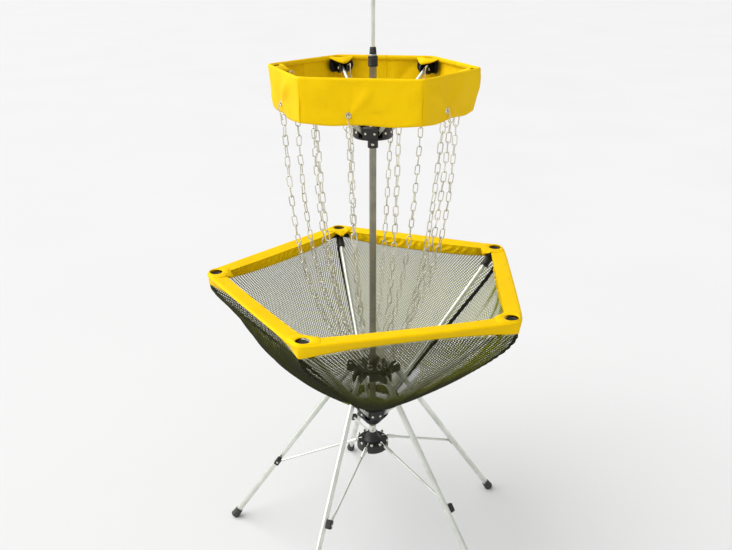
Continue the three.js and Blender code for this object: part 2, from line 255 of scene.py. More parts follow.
def bend(name, part, body, azimuth, crease=40):
    """A piece of bright wire on an arm."""
    return build(name, *part[:2], zinc, body, arm(azimuth), "chain_steel", lay=part[2], crease=crease)


def block(low, high):
    """A box between two corners."""
    (x0, y0, z0), (x1, y1, z1) = low, high
    points = [(x, y, z) for z in (z0, z1) for y in (y0, y1) for x in (x0, x1)]
    faces = [(0, 2, 3, 1), (4, 5, 7, 6), (0, 1, 5, 4), (2, 6, 7, 3), (0, 4, 6, 2), (1, 3, 7, 5)]
    return points, faces, points


def pointing(direction):
    """Turns +Z to a direction."""
    return Vector(direction).to_track_quat("Z", "Y").to_matrix().to_4x4()


def soften(piece, width, segments=2, limit=35):
    """Rounds a plastic or metal piece's sharp edges."""
    bevel = piece.modifiers.new("edges", "BEVEL")
    bevel.width = width
    bevel.segments = segments
    bevel.limit_method = "ANGLE"
    bevel.angle_limit = math.radians(limit)
    bevel.harden_normals = True
    return piece


def thicken(piece, thickness, offset=-1):
    solid = piece.modifiers.new("cloth", "SOLIDIFY")
    solid.thickness = thickness
    solid.offset = offset
    return piece


def from_cad(node, name, material, body, bevel):
    """A softened copy of a CAD node's solid, which stands for it."""
    shape = bmesh.new()
    shape.from_mesh(frame["nodes"][node].data)
    bmesh.ops.remove_doubles(shape, verts=shape.verts, dist=1e-5)
    bmesh.ops.dissolve_limit(shape, angle_limit=math.radians(1), verts=shape.verts, edges=shape.edges)
    mesh = bpy.data.meshes.new(name)
    shape.to_mesh(mesh)
    shape.free()
    for attribute in [a.name for a in mesh.attributes if a.name == "sharp_face"]:
        mesh.attributes.remove(mesh.attributes[attribute])
    mesh.materials.clear()
    mesh.materials.append(material)
    mesh.shade_smooth()
    mesh.set_sharp_from_angle(angle=math.radians(30))
    piece = bpy.data.objects.new(name, mesh)
    bpy.context.scene.collection.objects.link(piece)
    soften(piece, bevel)
    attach(piece, body)
    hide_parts(node)
    return piece


# ---- materials -----------------------------------------------------------------------------------
class Surface:
    """A Principled material and short calls for the nodes that feed it."""

    def __init__(self, name, **settings):
        self.material = bpy.data.materials.new(name)
        self.material.use_nodes = True
        self.tree = self.material.node_tree
        self.shader = self.tree.nodes["Principled BSDF"]
        for key, value in settings.items():
            self.shader.inputs[key.replace("_", " ")].default_value = value

    def add(self, kind, values=None, **settings):
        node = self.tree.nodes.new("ShaderNode" + kind)
        for key, value in settings.items():
            setattr(node, key, value)
        for key, value in (values or {}).items():
            if isinstance(value, bpy.types.NodeSocket):
                self.tree.links.new(value, node.inputs[key])
            else:
                node.inputs[key].default_value = value
        return node

    def place(self, scale=(1, 1, 1)):
        """The piece's own coordinates, stretched."""
        where = self.add("TexCoord").outputs["Object"]
        return self.add("Mapping", {"Vector": where, "Scale": scale}).outputs["Vector"]

    def lay(self, scale=(1, 1, 1)):
        """Coordinates that follow a cloth's or a tube's own surface, in metres, stretched."""
        where = self.add("Attribute", attribute_name="lay").outputs["Vector"]
        return self.add("Mapping", {"Vector": where, "Scale": scale}).outputs["Vector"]

    def noise(self, where, scale, detail=3, rough=0.5):
        values = {"Vector": where, "Scale": scale, "Detail": detail, "Roughness": rough}
        return self.add("TexNoise", values).outputs["Fac"]

    def spread(self, value, low, high, low_in=0.3, high_in=0.7):
        """A value taken from one range to another."""
        values = {"Value": value, "From Min": low_in, "From Max": high_in, "To Min": low, "To Max": high}
        return self.add("MapRange", values).outputs["Result"]

    def maths(self, operation, a, b=0.0):
        return self.add("Math", {0: a, 1: b}, operation=operation).outputs[0]

    def blend(self, share, first, second):
        values = {"Factor": share, 6: first, 7: second}
        return self.add("Mix", values, data_type="RGBA").outputs[2]

    def colour(self, socket):
        self.tree.links.new(socket, self.shader.inputs["Base Color"])

    def rough(self, socket):
        self.tree.links.new(socket, self.shader.inputs["Roughness"])

    def bump(self, height, strength, distance):
        values = {"Height": height, "Strength": strength, "Distance": distance}
        node = self.add("Bump", values)
        self.tree.links.new(node.outputs["Normal"], self.shader.inputs["Normal"])


def rgb(*values):
    return (*values, 1)


def make_metal(name, light, dark, roughness, grain):
    """A drawn tube: fine lines along its length, with smudges and a few darker rubbed places."""
    s = Surface(name, Metallic=0.9)
    lines = s.noise(s.lay((900, 9, 1)), 1, 4, 0.6)
    smudge = s.noise(s.place(), 22, 4, 0.6)
    s.colour(s.blend(s.spread(smudge, 0, 1, 0.35, 0.75), rgb(*light), rgb(*dark)))
    s.rough(s.spread(s.maths("ADD", s.maths("MULTIPLY", lines, 0.5), s.maths("MULTIPLY", smudge, 0.5)),
                     roughness - 0.09, roughness + 0.12))
    s.bump(lines, grain, 0.0004)
    return s.material


def make_plastic(name, light, dark, roughness):
    """Moulded plastic: a fine spark-eroded texture, faint flow marks and pale rubbed patches."""
    s = Surface(name)
    grain = s.noise(s.place(), 1600, 2, 0.6)
    flow = s.noise(s.place((1, 1, 0.35)), 28, 4, 0.55)
    rubbed = s.noise(s.place(), 75, 5, 0.7)
    tint = s.blend(s.spread(flow, 0, 1), rgb(*dark), rgb(*light))
    s.colour(s.blend(s.spread(rubbed, 0, 0.55, 0.62, 0.8), tint, rgb(*[2.4 * c + 0.015 for c in light])))
    s.rough(s.spread(rubbed, roughness - 0.08, roughness + 0.12))
    s.bump(grain, 0.25, 0.0003)
    return s.material


def make_cloth(name, light, dark, grime_and_weave_shade, pitch, roughness, rows=()):
    """Coated woven cloth: a plain weave, soft unevenness, random blotches of grime, and painted shade that
    blends the weave's low places towards the grime colour.
    """
    s = Surface(name)
    turns = 2 * math.pi / pitch
    warp = s.add("SeparateXYZ", {0: s.lay((turns, turns, 1))})
    weave = s.maths("MULTIPLY", s.maths("SINE", warp.outputs[0]), s.maths("SINE", warp.outputs[1]))
    slub = s.noise(s.lay((60, 700, 1)), 1, 3, 0.6)
    cloud = s.noise(s.place(), 9, 4, 0.55)
    grime = s.noise(s.place(), 34, 5, 0.65)
    tone = s.blend(s.spread(cloud, 0, 1), rgb(*light), rgb(*dark))
    tone = s.blend(s.spread(grime, 0, 0.35, 0.6, 0.85), tone, rgb(*grime_and_weave_shade))
    # painted shade: the weave's low places blend up to a tenth of the way to the grime and shade colour
    s.colour(s.blend(s.spread(weave, 0, 0.10, -1, 1), tone, rgb(*grime_and_weave_shade)))
    s.rough(s.spread(slub, roughness - 0.06, roughness + 0.1))
    height = s.maths("ADD", s.maths("MULTIPLY", weave, 0.5), s.maths("MULTIPLY", slub, 0.8))
    for row in rows:
        height = s.maths("SUBTRACT", height, stitches(s, warp_of(s), row))
    s.bump(height, 0.35, 0.0006)
    s.shader.inputs["Specular IOR Level"].default_value = 0.08
    return s.material


def warp_of(s):
    """A cloth's coordinates in metres: along its edge, and up from its bottom edge."""
    return s.add("SeparateXYZ", {0: s.lay()})


def stitches(s, where, row):
    """A sunken line of stitches at a height on the cloth."""
    half_width, turns, gap, depth = 0.0007, 1700.0, -0.3, 4.0
    near = s.maths("SUBTRACT", where.outputs[1], row)
    line = s.maths("LESS_THAN", s.maths("ABSOLUTE", near), half_width)
    dash = s.maths("GREATER_THAN", s.maths("SINE", s.maths("MULTIPLY", where.outputs[0], turns)), gap)
    return s.maths("MULTIPLY", s.maths("MULTIPLY", line, dash), depth)


def make_yarn(name, outside, inside):
    """Twisted plastic yarn with painted light: the side that faces into the basket is painted bright as if
    lit, and the outer side dark as if in shade.
    """
    s = Surface(name, Specular_IOR_Level=0.10)
    twist = s.noise(s.place((1, 1, 2.2)), 900, 2, 0.5)
    cloud = s.noise(s.place(), 16, 3, 0.6)
    # painted light: the lay's third value runs from 0 on the yarn's outer, painted-shade side to 1 on its
    # inner, painted-light side
    facing = s.maths("POWER", s.add("SeparateXYZ", {0: s.lay()}).outputs[2], 2.0)
    side = s.maths("MULTIPLY", facing, s.spread(cloud, 0.75, 1.0))
    s.colour(s.blend(side, rgb(*outside), rgb(*inside)))
    s.rough(s.spread(twist, 0.5, 0.7))
    s.bump(twist, 0.4, 0.0003)
    return s.material


def make_floor_material():
    s = Surface("pale_floor")
    cloud = s.noise(s.place(), 0.8, 3, 0.5)
    s.colour(s.blend(s.spread(cloud, 0, 1), rgb(0.69, 0.69, 0.69), rgb(0.705, 0.705, 0.705)))
    s.rough(s.spread(cloud, 0.75, 0.85))
    return s.material


alloy = make_metal("bright_alloy", (0.80, 0.82, 0.76), (0.62, 0.65, 0.58), 0.34, 0.25)
pole_alloy = make_metal("taupe_alloy", (0.32, 0.31, 0.245), (0.22, 0.215, 0.175), 0.38, 0.2)
# both zinc tones are tinted yellow as a painted reflection of the yellow cloth; the smudges between them are
# the metal's own uneven tone
zinc = make_metal("zinc_wire", (0.80, 0.78, 0.66), (0.45, 0.44, 0.36), 0.27, 0.1)
black = make_plastic("black_plastic", (0.012, 0.012, 0.011), (0.006, 0.006, 0.006), 0.42)
rubber = make_plastic("foot_rubber", (0.05, 0.048, 0.042), (0.028, 0.027, 0.024), 0.62)
# light, dark, and the colour of random grime and of the painted shade in the weave's low places
YELLOWS = (0.95, 0.63, 0.0), (0.90, 0.56, 0.0), (0.46, 0.24, 0.0)
yellow = make_cloth("yellow_cloth", *YELLOWS, 0.0011, 0.6, rows=(0.0045, 0.0865))
rim_yellow = make_cloth("rim_cloth", *YELLOWS, 0.0011, 0.6, rows=(0.004, 0.031))
BLACKS = (0.014, 0.015, 0.011), (0.007, 0.008, 0.006), (0.03, 0.032, 0.02)
webbing = make_cloth("black_webbing", *BLACKS, 0.0016, 0.6)
# the net's yarn: painted shade on its outer side, painted light on its inner side
netting = make_yarn("net_yarn", (0.010, 0.011, 0.004), (0.42, 0.46, 0.02))


# ---- pole and collar -----------------------------------------------------------------------------
def shell_profile(inner, outer, low, high, round_edge=0.0006):
    """A tube's wall as a closed line, with its outer edges broken."""
    return [(inner, low), (outer - round_edge, low), (outer, low + round_edge),
            (outer, high - round_edge), (outer - round_edge, high), (inner, high)]


def make_pole():
    wall = shell_profile(POLE_R - 0.0014, POLE_R, pole_low.z, pole_high.z)
    outer = lathe("pole_tube", wall, 48, pole_alloy, "pole", "pole_tube")
    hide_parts("outer_pole")
    low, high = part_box("inner_pole")
    top = high.z
    radius = 0.005
    wall = shell_profile(radius - 0.0012, radius, low.z, top - 0.010)
    tube = lathe("mast_tube", wall, 32, alloy, "inner_pole", "frame_tube")
    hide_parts("inner_pole")
    cap = [(0, top - 0.018), (radius - 0.0016, top - 0.018), (radius - 0.0014, top - 0.0098),
           (radius + 0.0008, top - 0.0098), (radius + 0.0012, top - 0.008), (radius + 0.0012, top - 0.003),
           (radius - 0.0005, top - 0.0005), (radius - 0.002, top), (0, top)]
    lathe("mast_cap", cap, 32, black, "inner_pole", "black_plastic")


def make_pole_button():
    """The button in the pole's side, in a bright sleeve between the brace hub and the basket hub; the sleeve
    is a painted highlight, bright metal where the pole shows its own highlight.
    """
    low, high, button_height = 0.345, 0.368, 0.357
    inner, outer = POLE_R + 0.0002, POLE_R + 0.0012
    ring = [(inner, low), (outer, low + 0.0005), (outer, high - 0.0005), (inner, high)]
    # painted highlight: a bright alloy band over the taupe pole
    lathe("pole_highlight_sleeve", ring, 40, alloy, "pole", "frame_tube")
    profile = [(0, -0.002), (0.0042, -0.002), (0.0042, 0.0012), (0.0034, 0.0026),
               (0.0018, 0.0033), (0, 0.0035)]
    out = Vector((0.12, -0.99, 0)).normalized()
    place = AXIS + out * (POLE_R + 0.001) + Vector((0, 0, button_height))
    button = moved(turned(profile, 28), Matrix.Translation(place) @ pointing(out))
    build("pole_button", *button[:2], zinc, "pole", None, "frame_tube")


def make_collar():
    bottom, top = (corner.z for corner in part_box("collar_base"))
    radius, groove_radius = 0.012, 0.0115
    inside, bore = 0.0053, POLE_R + 0.0003
    profile = [(bore, bottom), (radius - 0.001, bottom), (radius, bottom + 0.0015)]
    for k in range(4):
        z = bottom + 0.006 + 0.0042 * k
        profile += [(radius, z), (groove_radius, z + 0.0006),
                    (groove_radius, z + 0.0014), (radius, z + 0.002)]
    profile += [(radius, top - 0.0025), (radius - 0.0022, top - 0.0004), (radius - 0.003, top),
                (inside, top), (inside, top - 0.006), (bore, top - 0.006)]
    base = lathe("collar_barrel", profile, 48, black, "pole", "black_plastic")
    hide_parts("collar_base")
    # painted highlight: a thin bright alloy ring stands for the highlight on the barrel's top edge
    ring = [(inside, top + 0.0002), (0.0092, top + 0.0002), (0.0096, top + 0.0010),
            (0.0092, top + 0.0024), (inside, top + 0.0024)]
    lathe("collar_highlight_ring", ring, 40, alloy, "pole", "frame_tube")
    make_nut(inside)


def make_nut(inside):
    """The fluted nut that grips the inner pole."""
    low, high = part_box("collar_nut")
    heights = [low.z, low.z + 0.001, low.z + 0.003, low.z + 0.0045, high.z - 0.002, high.z]
    radii = [0.0080, 0.0086, 0.0086, 0.0080, 0.0072, 0.0060]
    segments = 96
    points = []
    for z, r in zip(heights, radii):
        flute = 0.0004 if low.z + 0.004 < z < high.z - 0.001 else 0.0
        for k in range(segments):
            angle = 2 * math.pi * k / segments
            out = r + flute * math.cos(12 * angle)
            points.append((out * math.cos(angle), out * math.sin(angle), z))
    bore = [(inside, heights[-1]), (inside, heights[0])]
    points += turned(bore, segments)[0]
    faces = ring_faces(len(heights) + len(bore), segments, closed=True)
    nut = build("collar_grip", points, faces, black, "collar_nut", ON_AXIS, "black_plastic")
    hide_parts("collar_nut")


# ---- screws and rivets ---------------------------------------------------------------------------
def rivet(place, direction, radius=0.0032, height=0.0016):
    """A domed head at a place, as (points, faces, lay)."""
    profile = [(0, -0.002), (radius, -0.002), (radius, 0.0002), (radius * 0.86, height * 0.62),
               (radius * 0.5, height * 0.95), (0, height)]
    return moved(turned(profile, 20), Matrix.Translation(Vector(place)) @ pointing(direction))


def make_screws(name, places, body, matrix, **sizes):
    heads = merged([rivet(place, direction, **sizes) for place, direction in places])
    return build(name, *heads[:2], zinc, body, matrix, "chain_steel", lay=heads[2], crease=50)


def beside_arms(azimuths, spread, reach, height):
    """Places and directions for two heads on a hub's side, at either side of each arm."""
    turns = [azimuth + turn for azimuth in azimuths for turn in (-spread, spread)]
    return [(outward(turn, reach, height), outward(turn)) for turn in turns]


# ---- top frame -----------------------------------------------------------------------------------
def rib_tube(name, start, end, radius, azimuth, body, node, flat=0.014):
    """A thin tube whose ends are pressed flat across the hinge; the hole drilled for its pin is left out."""
    start, end = Vector(start), Vector(end)
    step = (end - start).normalized()
    length = (end - start).length
    near = [0, flat * 0.45, flat, flat * 1.7]
    stops = near + [length - stop for stop in reversed(near)]
    squeeze = [0.62, 0.62, 0.72, 1, 1, 0.72, 0.62, 0.62]
    path = [start + step * s for s in stops]
    sides = 28
    points, faces, lay = swept(path, radius, sides)
    pressed = []
    for i, p in enumerate(points):
        share = squeeze[i // sides]
        centre = path[i // sides]
        offset = p - centre
        across = Vector((0, offset.y, 0))
        pressed.append(centre + across * share + (offset - across) * (1 + 0.35 * (1 - share)))
    tube = build(name, pressed, faces, alloy, body, arm(azimuth), "frame_tube", lay=lay)
    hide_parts(node)


def make_top_hub():
    from_cad("upper_hub", "top_hub", black, "pole", 0.0014)
    low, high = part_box("upper_hub")
    places = beside_arms(TOP_AZIMUTHS, 17, 0.0500, hinge("frame_fold", TOP_AZIMUTHS[0]).z)
    places += [(outward(azimuth + TOP_TURN / 2, 0.034, high.z - 0.0002), (0, 0, 1))
               for azimuth in TOP_AZIMUTHS]
    make_screws("top_hub_screws", places, "pole", ON_AXIS)
    button_side = 272
    button = (outward(button_side, 0.0128, low.z + 0.010), outward(button_side))
    make_screws("top_hub_button", [button], "pole", ON_AXIS, radius=0.0042, height=0.0026)


def make_top_ribs():
    for i, azimuth in enumerate(TOP_AZIMUTHS):
        body = f"upper_rib_{i + 1}"
        fold = "frame_fold" if i == 0 else f"top_rib_fold_{i + 1}"
        start = hinge(fold, azimuth)
        end = hinge(f"top_corner_level_{i + 1}", azimuth)
        step = (end - start).normalized()
        rib_tube(f"top_rib_{i + 1}", start - step * 0.005, end + step * 0.006, 0.0055, azimuth, body, body)


BRACKET_LOW, BRACKET_HIGH = 1.329, 1.3655


def wing(side, start, length, inset, thick, low, high):
    """One wing of a bracket: a plate behind a face of the band, rounded at its far end."""
    radius = (high - low) / 2
    middle = (high + low) / 2
    outline = [(start, low), (length - radius * 0.8, low)]
    outline += [(length - radius * 0.8 + radius * 0.8 * math.cos(a), middle + radius * math.sin(a))
                for a in (math.radians(-75 + 15 * k) for k in range(11))]
    outline += [(length - radius * 0.8, high), (start, high)]
    along = complex(-math.sin(TOP_HALF), side * math.cos(TOP_HALF))
    inward = complex(-math.cos(TOP_HALF), -side * math.sin(TOP_HALF))
    points = []
    for depth in (inset, inset + thick):
        for a, z in outline:
            p = BAND.radius + along * a + inward * depth
            points.append((p.real, p.imag, z))
    count = len(outline)
    faces = [tuple(range(count)), tuple(reversed(range(count, 2 * count)))]
    faces += [(k, count + k, count + (k + 1) % count, (k + 1) % count) for k in range(count)]
    if side < 0:
        faces = [tuple(reversed(f)) for f in faces]
    return points, faces, points


def bracket_shape(pin):
    """A corner bracket: two plates behind each face of the band, and a fork round the rib's pin."""
    low, high, step = BRACKET_LOW, BRACKET_HIGH, 0.0065
    cheek_at, half = 0.0094, 0.0022
    cheek = turned([(0, -half), (0.0135, -half), (0.0142, 0), (0.0135, half), (0, half)], 32)
    parts = []
    for side in (-1, 1):
        parts.append(wing(side, 0.012, 0.045, 0.0085, 0.0030, low, high))
        parts.append(wing(side, 0.020, 0.0365, 0.0112, 0.0025, low + step, high - step))
        place = Matrix.Translation((pin.x, side * cheek_at, pin.z)) @ pointing((0, 1, 0))
        parts.append(moved(cheek, place))
        parts.append(block((pin.x - 0.004, side * cheek_at - half, pin.z - 0.012),
                           (BAND.radius - 0.010, side * cheek_at + half, high - 0.001)))
    width = cheek_at + half
    parts.append(block((pin.x - 0.002, -width, high - 0.0055), (BAND.radius - 0.014, width, high)))
    parts.append(block((BAND.radius - 0.022, -width, low + 0.001), (BAND.radius - 0.011, width, high)))
    return merged(parts)


def make_top_brackets():
    for i, azimuth in enumerate(TOP_AZIMUTHS):
        body = f"upper_corner_{i + 1}"
        pin = hinge(f"top_corner_level_{i + 1}", azimuth)
        piece = mould(f"top_bracket_{i + 1}", bracket_shape(pin), body, azimuth, 30)
        soften(piece, 0.0008)
        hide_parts(body)
        pins = [((pin.x, side * 0.0121, pin.z), (0, side, 0)) for side in (-1, 1)]
        make_screws(f"top_bracket_pin_{i + 1}", pins, body, arm(azimuth), radius=0.0042)
        make_corner_hook(i, azimuth, body)


CORNER_HOOK = Vector((0.198, -0.014, 1.318))


def make_corner_hook(i, azimuth, body):
    """The wire hook on a bracket's side that the corner chain hangs from."""
    bends = [(0.016, 0.004, 0.029), (0.014, 0, 0.033), (0.009, -0.0015, 0.035), (0.004, -0.001, 0.031),
             (0.002, 0, 0.018), (0.004, 0, 0.006), (0.003, 0, -0.001), (-0.001, 0, -0.003), (-0.005, 0, 0),
             (-0.006, 0, 0.007)]
    bend(f"corner_hook_{i + 1}", bent_wire(CORNER_HOOK, bends, 0.0015), body, azimuth)


def bent_wire(start, bends, radius):
    """A smooth wire through places given from a start."""
    return swept(smooth_path([start + Vector(p) for p in bends], 4), radius, 10)


def smooth_path(points, steps):
    """More points along a smooth curve through the given ones."""
    points = [Vector(p) for p in points]
    ends = [points[0] * 2 - points[1]] + points + [points[-1] * 2 - points[-2]]
    fine = []
    for a, b, c, d in zip(ends, ends[1:], ends[2:], ends[3:]):
        for k in range(steps):
            t = k / steps
            fine.append(0.5 * (2 * b + (c - a) * t + (2 * a - 5 * b + 4 * c - d) * t * t
                               + (3 * b - a - 3 * c + d) * t ** 3))
    return fine + [points[-1]]


# ---- cloth rings: the band and the basket's rim --------------------------------------------------
class Ring:
    """A cloth ring stretched over corners: the run of its outline, in the frame of a corner's arm.
    Plan places are complex numbers, and h is a share of the ring's height."""

    def __init__(self, corners, radius, softness, leans, nudges):
        self.corners = corners
        self.radius = radius          # of its corners, at the top
        self.leans = leans            # how far each corner leans in at the bottom
        self.softness = softness      # how far a corner's rounding reaches, at the bottom and the top
        self.nudges = nudges          # where each corner really stands, from its regular place
        self.side = 2 * radius * math.sin(math.pi / corners)

    def corner(self, i, h):
        lean = self.leans[i % self.corners] * (1 - h) ** 2
        return self.radius - lean + complex(*self.nudges[i % self.corners])

    def plan(self, i, s, h):
        """The outline at a distance s from corner i, and the way in from there."""
        turn = cmath.rect(1, 2 * math.pi / self.corners)
        here = self.corner(i, h)
        after = (self.corner(i + 1, h) * turn - here) / self.side
        before = (self.corner(i - 1, h) / turn - here) / self.side
        bent = math.hypot(s, self.softness[0] + (self.softness[1] - self.softness[0]) * h)
        place = here + 0.5 * (bent + s) * after + 0.5 * (bent - s) * before
        along = (s / bent + 1) * after + (s / bent - 1) * before
        return place, along * 1j / abs(along)


def level(place, z):
    """A plan place at a height."""
    return Vector((place.real, place.imag, z))


BAND = Ring(TOP_COUNT, 0.2620, (0.011, 0.009), (0.010, 0.002, 0.001, 0.012, 0.006, 0.006),
            ((0.003, 0), (0.0025, -0.0043), (0.0075, 0.013), (0, 0), (0, 0), (0, 0)))
RIM = Ring(RIB_COUNT, 0.4605, (0.020, 0.020), (0,) * RIB_COUNT, ((0, 0),) * RIB_COUNT)


def sheet_grid(columns):
    """Points and faces from a list of equally long columns, with the lay of the cloth."""
    rows = len(columns[0])
    points = [p for column in columns for p in column]
    faces = []
    for c in range(len(columns) - 1):
        for r in range(rows - 1):
            a = c * rows + r
            faces.append((a, a + rows, a + rows + 1, a + 1))
    lay = []
    along = 0.0
    for c, column in enumerate(columns):
        if c:
            along += (Vector(column[0]) - Vector(columns[c - 1][0])).length
        up = 0.0
        for r, p in enumerate(column):
            if r:
                up += (Vector(p) - Vector(column[r - 1])).length
            lay.append((along, up, 0))
    return points, faces, lay


def band_fold(face, u, h):
    """How far the band's cloth stands off its flat face, outwards, at u from the middle of a face and
    at a share h of its height: soft tension folds fanning out from the eyelet, and slack near corners."""
    dice = random.Random(70 + face)
    eyelet = Vector((FACE_SIDE / BAND.side * 2, 0.19))
    here = Vector((u / BAND.side * 2, h))
    away = here - eyelet
    distance = away.length
    angle = math.atan2(away.y, away.x)
    folds = 0.0
    for k in range(5):
        towards = math.radians(12 + 38 * k + dice.uniform(-9, 9))
        strength = dice.uniform(0.4, 1.0) * (1 if k % 2 else -1)
        width = dice.uniform(0.16, 0.26)
        gap = math.atan2(math.sin(angle - towards), math.cos(angle - towards))
        folds += strength * math.exp(-(gap / width) ** 2)
    fan = folds * 0.0056 * min(1, distance * 1.6) * math.exp(-max(0, distance - 0.55) * 1.3)
    wave = noise.noise(Vector((u * 14, h * 1.4, 11.7 * face))) * 0.0060
    fine = noise.noise(Vector((u * 45, h * 4.5, 5.1 * face))) * 0.0011
    hold = min(1, (1 - h) * 4.5)
    stand = (fan + wave + fine) * hold
    return stand if stand > 0 else 0.4 * stand


BAND_HEM = 0.0115
OVERLAP = 0.004
BAND_CLOTH, RIM_CLOTH, GUSSET_CLOTH = 0.0008, 0.0010, 0.0012


def band_column(i, s, out=0.0):
    """One column of the band's cloth at a distance s from corner i, from its bottom edge up its outside
    and round its rolled top hem."""
    low, high = band_low.z - 0.003, band_high.z
    face = (i if s > 0 else i - 1) % TOP_COUNT
    u = s - math.copysign(BAND.side / 2, s)
    column = []
    skirt = 20
    for k in range(skirt + 1):
        h = k / skirt * (1 - BAND_HEM / (high - low))
        place, inward = BAND.plan(i, s, h)
        lift = 0.0018 * math.cos(4 * math.pi * s / BAND.side) * (1 - h) ** 3
        column.append(level(place - inward * (band_fold(face, u, h) + out), low + (high - low) * h + lift))
    place, inward = BAND.plan(i, s, 1)
    half_width, half_height = 0.0046, BAND_HEM * 0.54
    ripple = noise.noise(Vector((u * 60, 3.3 * face, 0))) * 0.0007
    for k in range(13):
        turn = math.radians(180 - 22 * k)
        inset = half_width * (1 + math.cos(turn)) - 0.0008 + ripple - out
        column.append(level(place + inward * inset, high - half_height * (1 - math.sin(turn))))
    column.append(level(place + inward * 0.0022, high - BAND_HEM - 0.0012))
    return column


def cloth_piece(name, columns, material, body, azimuth, thickness):
    """A sheet of cloth through columns of points, on an arm, and its area before it has thickness."""
    points, faces, lay = sheet_grid(columns)
    piece = build(name, points, faces, material, body, arm(azimuth), "band_cloth", lay=lay)
    area = sum(f.area for f in piece.data.polygons)
    thicken(piece, thickness)
    return piece, area


def dip(s, low, high):
    """How far a sheet sinks where it passes under its neighbour, past either end of its own stretch."""
    past = max(low - s, s - high, 0.0)
    return -0.0009 * past / OVERLAP


def strip_columns(column_at, i, side, edge, middle, count):
    """Columns from a corner's edge to the middle of one of its faces, in the order that keeps the cloth
    facing out."""
    stops = [side * s for s in np.linspace(edge - OVERLAP, middle + OVERLAP, count)][::side]
    return [column_at(i, s, dip(abs(s), edge, middle)) for s in stops]


def cloth_strip(ring_name, columns, i, side, material, body, azimuth, thickness):
    """A strip of a cloth ring, from a corner's sheet to the middle of a face."""
    name = f"{ring_name}_strip_{i + 1}_{'b' if side > 0 else 'a'}"
    strip, area = cloth_piece(name, columns, material, body, azimuth, thickness)
    bake_modifiers(strip)
    return strip


BAND_GUSSET = dict(reach=0.044, outer=0.006, inner=0.012, depth=0.052, centre=BAND.radius - 0.0215,
                   hole=(0.0075, 0.020), top=band_high.z - 0.0052, rise=0.0008, droop=0.008, full=0.9)


def make_band():
    edge = 0.026
    middle = BAND.side / 2
    for i, azimuth in enumerate(TOP_AZIMUTHS):
        body = f"upper_corner_{i + 1}"
        stops = np.linspace(-edge - OVERLAP, edge + OVERLAP, 31)
        columns = [band_column(i, s, dip(s, -edge, edge)) for s in stops]
        corner, area = cloth_piece(f"band_corner_{i + 1}", columns, yellow, body, azimuth, BAND_CLOTH)
        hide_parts("top_band")
        for side in (-1, 1):
            columns = strip_columns(band_column, i, side, edge, middle, 56)
            strip = cloth_strip("band", columns, i, side, yellow, body, azimuth, BAND_CLOTH)
            fold_strip(strip)
        make_gusset(f"band_gusset_{i + 1}", BAND, i, BAND_GUSSET, yellow, body, azimuth)


def along_face(half, side):
    """The way along one of a corner's two faces, from half of the angle between corners."""
    return Vector((-math.sin(half), side * math.cos(half), 0))


def bake_modifiers(piece):
    """The piece's mesh with its modifiers applied."""
    depsgraph = bpy.context.evaluated_depsgraph_get()
    mesh = bpy.data.meshes.new_from_object(piece.evaluated_get(depsgraph))
    mesh.name = piece.name
    piece.modifiers.clear()
    piece.data = mesh


def fold_strip(piece):
    """Gives a strip of the band its own copy of its mesh."""
    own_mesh(piece)


def gusset_outline(ring, i, cut):
    """The edge of a gusset: along the ring's corner, then back along a curve that bows to the pole."""
    edge = []
    for k in range(81):
        s = cut["reach"] * (k / 40 - 1)
        place, inward = ring.plan(i, s, 1)
        edge.append(level(place + inward * cut["outer"], cut["top"]))
    for k in range(81):
        s = cut["reach"] * (1 - k / 40)
        place, inward = ring.plan(i, s, 1)
        bow = max(0, math.cos(math.pi * s / (2 * cut["reach"]))) ** cut["full"]
        start = place + inward * cut["inner"]
        reached = start.real + (ring.plan(i, 0, 1)[0].real - cut["depth"] - start.real) * bow
        edge.append(level(complex(reached, start.imag), cut["top"] - cut["droop"] * bow))
    return edge


def gusset_column(cut, angle, far, edge_z, seed):
    """One column of a gusset, from its hole out to its edge at an angle. An edge that hangs is rolled
    under."""
    radial, across = cut["hole"]
    near = min(1 / math.hypot(math.cos(angle) / radial, math.sin(angle) / across), far - 0.002)
    top, rows = cut["top"], 10
    column = []
    for r in range(rows + 1):
        share = r / rows
        distance = near + (far - near) * share
        z = top + (edge_z - top) * share ** 2 + cut["rise"] * math.sin(math.pi * share)
        p = Vector((cut["centre"] + distance * math.cos(angle), distance * math.sin(angle), z))
        wrinkle = noise.noise(Vector((p.x * 55, p.y * 55, seed))) * 0.0009
        column.append(p + Vector((0, 0, wrinkle * share)))
    last = column[-1]
    roll = 0.0022 * (top - edge_z) / cut["droop"]
    out = Vector((math.cos(angle), math.sin(angle), 0)) * roll
    down = Vector((0, 0, -1.3 * roll))
    for turn in (40, 90, 140):
        a = math.radians(turn)
        column.append(last + out * math.sin(a) + down * (1 - math.cos(a)))
    return column


def make_gusset(name, ring, i, cut, material, body, azimuth):
    """The flat cloth in a ring's corner, round the hole that shows the plastic under it."""
    centre = cut["centre"]
    polar = sorted((math.atan2(p.y, p.x - centre), math.hypot(p.x - centre, p.y), p.z)
                   for p in gusset_outline(ring, i, cut))
    angles, reaches, heights = (np.array(column) for column in zip(*polar))
    columns = []
    steps = 120
    for k in range(steps + 1):
        angle = 2 * math.pi * k / steps - math.pi
        far = float(np.interp(angle, angles, reaches, period=2 * math.pi))
        edge_z = float(np.interp(angle, angles, heights, period=2 * math.pi))
        columns.append(gusset_column(cut, angle, far, edge_z, 7.7 * i))
    points, faces, _ = sheet_grid(columns)
    piece = build(name, points, faces, material, body, arm(azimuth), "band_cloth",
                  lay=[(p[0], p[1] - 1, 0) for p in points])
    thicken(piece, GUSSET_CLOTH)


